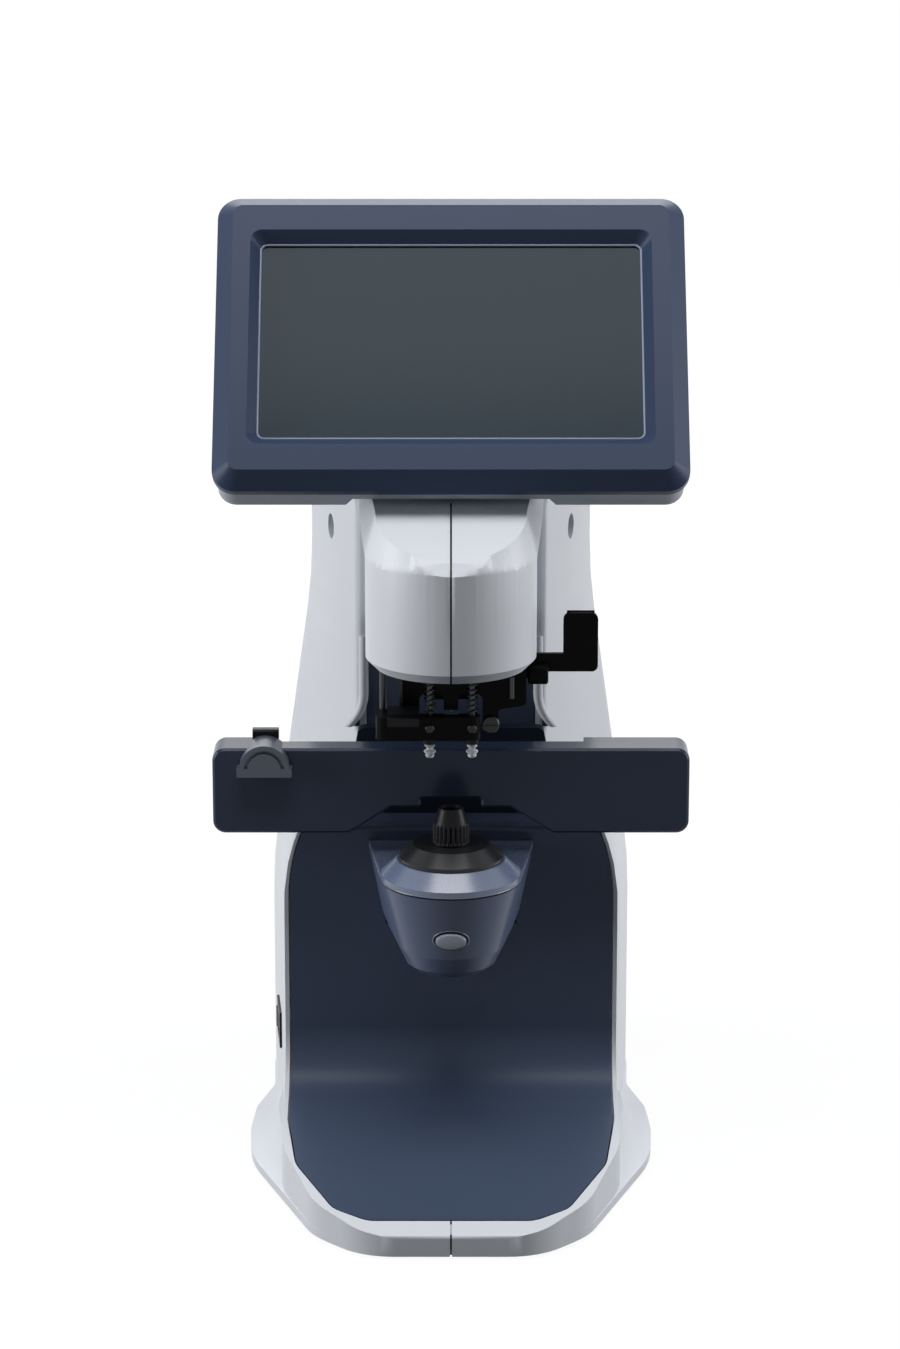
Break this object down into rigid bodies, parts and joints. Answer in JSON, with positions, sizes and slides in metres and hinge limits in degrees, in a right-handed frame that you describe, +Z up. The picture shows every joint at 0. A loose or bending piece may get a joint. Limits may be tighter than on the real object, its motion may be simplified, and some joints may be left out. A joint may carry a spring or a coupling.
{
  "type": "auto lensmeter",
  "caption": "Table instrument that measures spectacle lenses on a nosepiece, with a tilting display, sliding lens table, lens holder and marking lever.",
  "frame": {"origin": "middle of the base's outline, at the height of the surface it stands on", "axes": "+Z up, +Y towards the back, +X to the right of someone who faces the display"},
  "size_m": [0.2, 0.256, 0.4131],
  "materials": {
    "white_shell": "fine moulded texture",
    "pale_shell": "fine moulded texture",
    "navy_panel": "satin painted",
    "navy_gloss": "semi-gloss painted",
    "navy_bezel": "satin painted",
    "stage_dark": "satin painted",
    "stage_grey": "satin painted",
    "slider_grey": "moulded",
    "black_plastic": "moulded",
    "black_metal": "black finish",
    "black_alloy": "black anodised",
    "steel": "ground",
    "steel_plate": "zinc plated",
    "cast_alloy": "as cast",
    "brass": "turned",
    "rubber": "moulded",
    "clear_silicone": "clear, soft",
    "clear_glass": "polished, coated",
    "screen": "satin cover glass",
    "silver_button": "silver painted",
    "board": "solder mask"
  },
  "bodies": {
    "root": {"left_cover": "white_shell", "right_cover": "white_shell", "cover_screws": "steel", "base_plate": "steel_plate", "rubber_feet": "rubber", "front_panel": "navy_panel", "throat_panel": "navy_panel", "rod_housing": "navy_panel", "power_inlet": "black_plastic", "switch_frame": "black_plastic", "stage_bowl": "stage_dark", "stage_collar": "stage_grey", "stage_disc": "black_plastic", "cover_glass": "clear_glass", "button_board": "board", "rod_sleeves": "brass", "holder_sleeve": "brass", "marker_plate": "black_metal", "marker_screws": "black_metal", "side_strip": "steel", "stop_pin": "steel", "carriage_guide": "brass", "cast_frame": "cast_alloy", "lens_barrel": "black_alloy", "collimator_lens": "clear_glass", "light_board": "board", "sensor_barrel": "black_alloy", "grid_plate": "steel", "sensor_board": "board", "main_board": "board", "power_supply": "steel_plate", "display_neck": "pale_shell"},
    "display": {"display_bezel": "navy_bezel", "screen_glass": "screen", "screen_module": "black_alloy", "screen_board": "board", "display_back": "pale_shell", "hinge_pin": "steel"},
    "table": {"table_bar": "navy_gloss", "table_rail": "steel", "table_rods": "steel"},
    "nose_slider": {"slider_arch": "slider_grey", "slider_clip": "black_plastic"},
    "lens_holder": {"holder_bar": "black_metal", "holder_rod": "steel", "holder_tab": "black_plastic", "holder_tips": "clear_silicone", "tip_collars": "black_plastic", "tip_pins": "steel", "tip_springs": "steel", "holder_screws": "black_metal"},
    "marker_lever": {"marker_lever": "black_metal", "lever_shaft": "black_metal"},
    "marker_carriage": {"marker_carriage": "black_metal", "marker_needles": "steel"},
    "nosepiece": {"nosepiece": "black_plastic"},
    "read_button": {"read_button": "silver_button"},
    "power_rocker": {"power_rocker": "black_plastic"}
  },
  "joints": [
    {"name": "display_tilt", "type": "hinge", "parent": "root", "child": "display", "pos_m": [0, -0.006, 0.315], "axis": [1, 0, 0], "range_deg": [-25, 0]},
    {"name": "table_slide", "type": "slide", "parent": "root", "child": "table", "axis": [0, 1, 0], "range_m": [-0.009, 0.022]},
    {"name": "nose_slide", "type": "slide", "parent": "table", "child": "nose_slider", "axis": [1, 0, 0], "range_m": [0, 0.12]},
    {"name": "holder_slide", "type": "slide", "parent": "root", "child": "lens_holder", "axis": [0, 0, -1], "range_m": [0, 0.02]},
    {"name": "lever_turn", "type": "hinge", "parent": "root", "child": "marker_lever", "pos_m": [0, -0.035, 0.2232], "axis": [1, 0, 0], "range_deg": [0, 40]},
    {"name": "carriage_slide", "type": "slide", "parent": "root", "child": "marker_carriage", "axis": [0, -0.342, -0.9397], "range_m": [0, 0.022], "stiffness_N_per_m": 60, "springref_m": -0.0126},
    {"name": "nosepiece_lift", "type": "slide", "parent": "root", "child": "nosepiece", "axis": [0, 0, 1], "range_m": [0, 0.006]},
    {"name": "button_press", "type": "slide", "parent": "root", "child": "read_button", "axis": [0, 1, 0], "range_m": [0, 0.0015], "stiffness_N_per_m": 400, "springref_m": -0.001},
    {"name": "rocker_turn", "type": "hinge", "parent": "root", "child": "power_rocker", "pos_m": [-0.07218, 0.04032, 0.043], "axis": [0, 0, -1], "range_deg": [0, 10]}
  ],
  "couplings": [
    {"joint": "lever_turn", "follows": "carriage_slide", "rad_per_m": 31.7}
  ]
}
